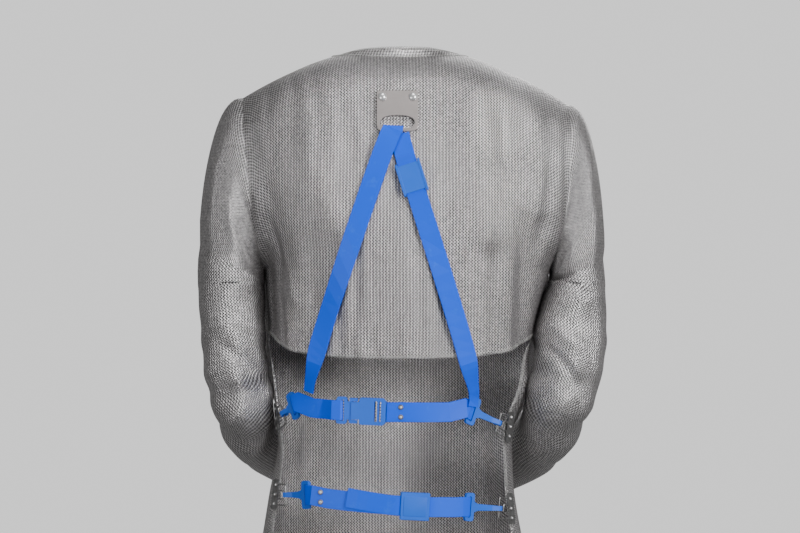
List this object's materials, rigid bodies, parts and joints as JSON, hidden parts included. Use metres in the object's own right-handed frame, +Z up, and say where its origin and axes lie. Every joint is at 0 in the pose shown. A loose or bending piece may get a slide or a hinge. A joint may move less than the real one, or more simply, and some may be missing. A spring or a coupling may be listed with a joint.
{
  "type": "chainmail apron",
  "caption": "Ring mail cut-protection apron with sleeves, short open back, crossed plastic braces and two buckled belts, in its worn shape.",
  "frame": {"origin": "middle of the shoulders, where the wearer carries the garment", "axes": "+Z up, the garment's back faces -Y, and +X is to the right in the view of the back"},
  "size_m": [0.5335, 0.3617, 1.0339],
  "materials": {
    "ring_mail": "welded steel rings, worn bright",
    "blue_plastic": "smooth blue plastic strap and moulded fittings",
    "plate_steel": "satin steel",
    "dark_steel": "dull dark steel"
  },
  "bodies": {
    "root": {"back_panel": "ring_mail", "front_panel": "ring_mail", "sleeve_left": "ring_mail", "sleeve_right": "ring_mail", "neck_band": "ring_mail", "brace_slider": "blue_plastic", "brace_strap_left": "blue_plastic", "brace_strap_right": "blue_plastic", "hip_belt_left": "blue_plastic", "hip_belt_right": "blue_plastic", "hip_hook_left": "blue_plastic", "hip_hook_right": "blue_plastic", "hip_slider": "blue_plastic", "waist_belt_left": "blue_plastic", "waist_belt_right": "blue_plastic", "waist_buckle_plug": "blue_plastic", "waist_buckle_socket": "blue_plastic", "waist_hook_left": "blue_plastic", "waist_hook_right": "blue_plastic", "strap_plate": "plate_steel", "plate_rivet_left": "plate_steel", "plate_rivet_right": "plate_steel", "eye_plate_hip_left": "dark_steel", "eye_plate_hip_right": "dark_steel", "eye_plate_waist_left": "dark_steel", "eye_plate_waist_right": "dark_steel", "hip_rivet_lower": "dark_steel", "hip_rivet_upper": "dark_steel", "waist_rivet_lower": "dark_steel", "waist_rivet_upper": "dark_steel"}
  },
  "joints": []
}
